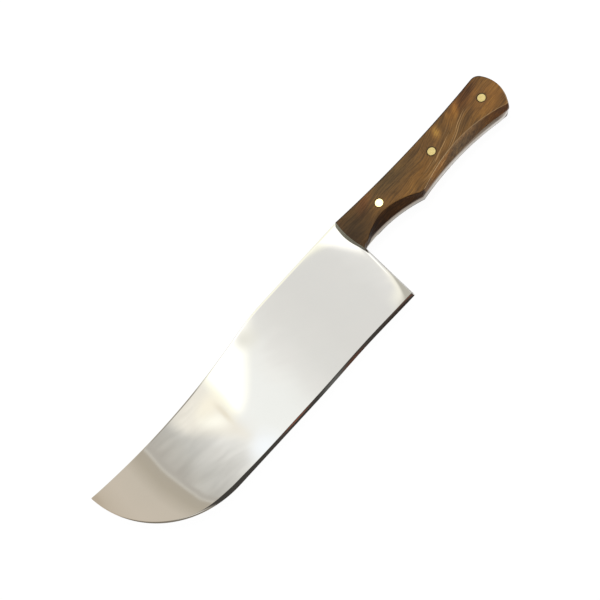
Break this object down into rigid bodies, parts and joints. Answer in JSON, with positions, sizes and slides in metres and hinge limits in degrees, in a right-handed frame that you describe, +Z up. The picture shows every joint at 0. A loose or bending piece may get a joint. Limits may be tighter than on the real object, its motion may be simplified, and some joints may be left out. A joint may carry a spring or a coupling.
{
  "type": "barbecue knife",
  "caption": "Wide barbecue knife: polished clip-backed steel blade on a full tang, with scalloped wooden scales held by flush brass pins.",
  "frame": {"origin": "on the surface that the knife lies on, under the middle of its bounding box", "axes": "+X from the tip to the butt, +Y from the cutting edge to the spine, +Z up through the thickness, from the right scale to the left one"},
  "size_m": [0.3262, 0.064, 0.014],
  "materials": {
    "steel": "mirror polished, with faint polishing lines across the blade",
    "wood": "oiled hardwood, slanting dark grain, carved facets burnished darker",
    "brass": "sanded flush and polished with the scales"
  },
  "bodies": {
    "root": {"blade": "steel", "left_scale": "wood", "right_scale": "wood", "front_pin": "brass", "middle_pin": "brass", "rear_pin": "brass"}
  },
  "joints": []
}
